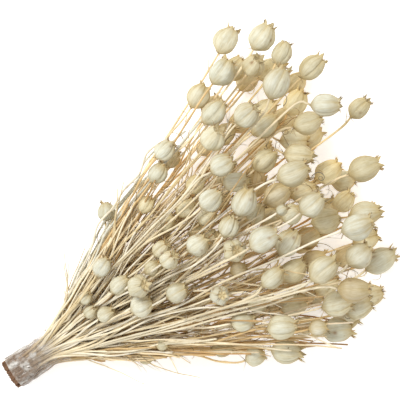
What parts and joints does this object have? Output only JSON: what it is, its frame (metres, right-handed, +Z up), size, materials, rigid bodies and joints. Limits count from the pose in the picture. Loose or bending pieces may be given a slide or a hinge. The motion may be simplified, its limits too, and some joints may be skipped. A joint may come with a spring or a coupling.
{
  "type": "bunch of dried nigella seed pods",
  "caption": "Lying bunch of dried, bleached nigella: thin branched straw stems gathered in a clear wrap, fanning out to ribbed, crowned seed pods.",
  "frame": {"origin": "on the surface it lies on, under the middle of the bunch's bounding box", "axes": "+X along the bunch from the cut ends to the pods, +Y across the fan, +Z up"},
  "size_m": [0.3656, 0.2648, 0.1193],
  "materials": {
    "dried_sprig": "dry papery pods and straw stems, matte",
    "clear_wrap": "thin crinkled clear film"
  },
  "bodies": {
    "root": {"wrap_film": "clear_wrap", "sprig_top_01": "dried_sprig", "sprig_top_02": "dried_sprig", "sprig_top_03": "dried_sprig", "sprig_top_04": "dried_sprig", "sprig_top_05": "dried_sprig", "sprig_top_06": "dried_sprig", "sprig_top_07": "dried_sprig", "sprig_top_08": "dried_sprig", "sprig_top_09": "dried_sprig", "sprig_top_10": "dried_sprig", "sprig_top_11": "dried_sprig", "sprig_top_12": "dried_sprig", "sprig_top_13": "dried_sprig", "sprig_top_14": "dried_sprig", "sprig_upper_01": "dried_sprig", "sprig_upper_02": "dried_sprig", "sprig_upper_03": "dried_sprig", "sprig_upper_04": "dried_sprig", "sprig_upper_05": "dried_sprig", "sprig_upper_06": "dried_sprig", "sprig_upper_07": "dried_sprig", "sprig_upper_08": "dried_sprig", "sprig_upper_09": "dried_sprig", "sprig_upper_10": "dried_sprig", "sprig_upper_11": "dried_sprig", "sprig_upper_12": "dried_sprig", "sprig_upper_13": "dried_sprig", "sprig_upper_14": "dried_sprig", "sprig_upper_15": "dried_sprig", "sprig_upper_16": "dried_sprig", "sprig_upper_17": "dried_sprig", "sprig_lower_01": "dried_sprig", "sprig_lower_02": "dried_sprig", "sprig_lower_03": "dried_sprig", "sprig_lower_04": "dried_sprig", "sprig_lower_05": "dried_sprig", "sprig_lower_06": "dried_sprig", "sprig_lower_07": "dried_sprig", "sprig_lower_08": "dried_sprig", "sprig_lower_09": "dried_sprig", "sprig_lower_10": "dried_sprig", "sprig_lower_11": "dried_sprig", "sprig_lower_12": "dried_sprig", "sprig_lower_13": "dried_sprig", "sprig_lower_14": "dried_sprig", "sprig_bottom_01": "dried_sprig", "sprig_bottom_02": "dried_sprig", "sprig_bottom_03": "dried_sprig", "sprig_bottom_04": "dried_sprig", "sprig_bottom_05": "dried_sprig", "sprig_bottom_06": "dried_sprig", "sprig_bottom_07": "dried_sprig", "sprig_bottom_08": "dried_sprig", "sprig_bottom_09": "dried_sprig", "sprig_bottom_10": "dried_sprig", "sprig_bottom_11": "dried_sprig"}
  },
  "joints": []
}
